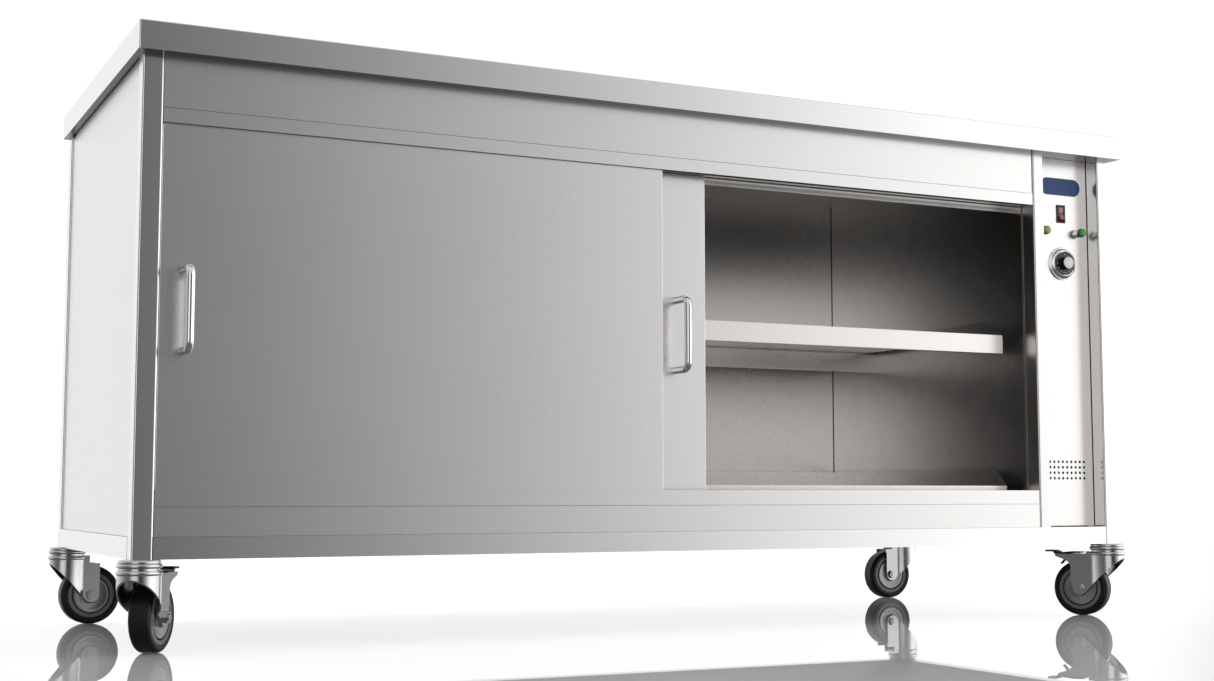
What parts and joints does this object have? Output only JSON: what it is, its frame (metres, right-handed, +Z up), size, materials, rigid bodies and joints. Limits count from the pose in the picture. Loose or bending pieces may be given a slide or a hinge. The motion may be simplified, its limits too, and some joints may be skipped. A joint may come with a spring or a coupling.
{
  "type": "food holding cabinet",
  "caption": "Mobile heated food cupboard with a flat worktop, sliding double-skinned doors, inner shelf, side control panel and swivel castors.",
  "frame": {"origin": "on the floor under the middle of the whole cabinet, handles and cable gland included", "axes": "+X to the user's right along the front, +Y from the doors to the back, +Z up"},
  "size_m": [1.814, 0.7245, 0.887],
  "materials": {
    "steel_worktop": "brushed",
    "steel_frame": "satin",
    "steel_panel": "satin",
    "steel_liner": "satin",
    "insulation_wool": "matte",
    "element_sheath": "satin",
    "plate_blue": "gloss",
    "black_plastic": "satin",
    "lens_amber": "gloss",
    "lens_green": "gloss",
    "chrome_trim": "polished",
    "thermostat_metal": "satin",
    "terminal_plastic": "matte",
    "zinc": "satin",
    "rocker_red": "gloss",
    "dial_black": "satin",
    "nylon": "matte",
    "hub_grey": "satin",
    "tyre_black": "matte",
    "pedal_black": "satin"
  },
  "bodies": {
    "cabinet": {"worktop": "steel_worktop", "legs": "steel_frame", "bottom_rails": "steel_frame", "top_rails": "steel_frame", "door_post": "steel_frame", "upper_fascia": "steel_panel", "lower_fascia": "steel_panel", "top_track": "steel_panel", "bottom_track": "steel_panel", "side_panels": "steel_panel", "back_panel": "steel_panel", "base_panel": "steel_panel", "liner_sides": "steel_liner", "liner_back": "steel_liner", "liner_top": "steel_liner", "liner_base": "steel_liner", "insulation": "insulation_wool", "mid_shelf": "steel_liner", "deck": "steel_liner", "support_brackets": "steel_liner", "heating_element": "element_sheath", "control_panel": "steel_panel", "name_plate": "plate_blue", "switch_frame": "black_plastic", "lamp_bodies": "black_plastic", "lamp_lens_amber": "lens_amber", "lamp_lens_green": "lens_green", "thermostat_bezel": "chrome_trim", "thermostat_body": "thermostat_metal", "terminal_block": "terminal_plastic", "cable_gland": "black_plastic", "castor_heads": "zinc"},
    "front_door": {"front_door_outer": "steel_panel", "front_door_inner": "steel_panel", "front_door_hangers": "nylon", "front_door_handle": "chrome_trim"},
    "rear_door": {"rear_door_outer": "steel_panel", "rear_door_inner": "steel_panel", "rear_door_hangers": "nylon", "rear_door_handle": "chrome_trim"},
    "switch_rocker": {"switch_rocker": "rocker_red"},
    "thermostat_dial": {"thermostat_dial": "dial_black"},
    "castor_front_left_swivel": {"castor_front_left_fork": "zinc", "castor_front_left_axle": "zinc"},
    "castor_front_left_wheel": {"castor_front_left_hub": "hub_grey", "castor_front_left_tyre": "tyre_black"},
    "castor_front_left_brake": {"castor_front_left_pedal": "pedal_black"},
    "castor_front_right_swivel": {"castor_front_right_fork": "zinc", "castor_front_right_axle": "zinc"},
    "castor_front_right_wheel": {"castor_front_right_hub": "hub_grey", "castor_front_right_tyre": "tyre_black"},
    "castor_front_right_brake": {"castor_front_right_pedal": "pedal_black"},
    "castor_rear_left_swivel": {"castor_rear_left_fork": "zinc", "castor_rear_left_axle": "zinc"},
    "castor_rear_left_wheel": {"castor_rear_left_hub": "hub_grey", "castor_rear_left_tyre": "tyre_black"},
    "castor_rear_right_swivel": {"castor_rear_right_fork": "zinc", "castor_rear_right_axle": "zinc"},
    "castor_rear_right_wheel": {"castor_rear_right_hub": "hub_grey", "castor_rear_right_tyre": "tyre_black"}
  },
  "joints": [
    {"name": "front_door_slide", "type": "slide", "parent": "cabinet", "child": "front_door", "axis": [1, 0, 0], "range_m": [0, 0.669]},
    {"name": "rear_door_slide", "type": "slide", "parent": "front_door", "child": "rear_door", "axis": [-1, 0, 0], "range_m": [-0.669, 0]},
    {"name": "power_switch", "type": "hinge", "parent": "cabinet", "child": "switch_rocker", "pos_m": [0.797, -0.29275, 0.742], "axis": [1, 0, 0], "range_deg": [0, 20]},
    {"name": "thermostat_turn", "type": "hinge", "parent": "cabinet", "child": "thermostat_dial", "pos_m": [0.797, -0.30425, 0.6485], "axis": [0, 1, 0], "range_deg": [0, 240]},
    {"name": "front_left_swivel", "type": "hinge", "parent": "cabinet", "child": "castor_front_left_swivel", "pos_m": [-0.875, -0.30925, 0.118], "axis": [0, 0, 1], "continuous": true},
    {"name": "front_left_roll", "type": "hinge", "parent": "castor_front_left_swivel", "child": "castor_front_left_wheel", "pos_m": [-0.84906, -0.27006, 0.05], "axis": [-0.8339, 0.5519, 0], "continuous": true},
    {"name": "front_left_brake", "type": "hinge", "parent": "castor_front_left_swivel", "child": "castor_front_left_brake", "pos_m": [-0.83636, -0.25088, 0.1065], "axis": [-0.8339, 0.5519, 0], "range_deg": [0, 12]},
    {"name": "front_right_swivel", "type": "hinge", "parent": "cabinet", "child": "castor_front_right_swivel", "pos_m": [0.875, -0.30925, 0.118], "axis": [0, 0, 1], "continuous": true},
    {"name": "front_right_roll", "type": "hinge", "parent": "castor_front_right_swivel", "child": "castor_front_right_wheel", "pos_m": [0.85115, -0.26875, 0.05], "axis": [-0.8616, -0.5075, 0], "continuous": true},
    {"name": "front_right_brake", "type": "hinge", "parent": "castor_front_right_swivel", "child": "castor_front_right_brake", "pos_m": [0.83947, -0.24894, 0.1065], "axis": [-0.8616, -0.5075, 0], "range_deg": [0, 12]},
    {"name": "rear_left_swivel", "type": "hinge", "parent": "cabinet", "child": "castor_rear_left_swivel", "pos_m": [-0.875, 0.32575, 0.118], "axis": [0, 0, 1], "continuous": true},
    {"name": "rear_left_roll", "type": "hinge", "parent": "castor_rear_left_swivel", "child": "castor_rear_left_wheel", "pos_m": [-0.83709, 0.3284, 0.05], "axis": [-0.0698, 0.9976, 0], "continuous": true},
    {"name": "rear_right_swivel", "type": "hinge", "parent": "cabinet", "child": "castor_rear_right_swivel", "pos_m": [0.875, 0.32575, 0.118], "axis": [0, 0, 1], "continuous": true},
    {"name": "rear_right_roll", "type": "hinge", "parent": "castor_rear_right_swivel", "child": "castor_rear_right_wheel", "pos_m": [0.83701, 0.32655, 0.05], "axis": [-0.0209, -0.9998, 0], "continuous": true}
  ]
}
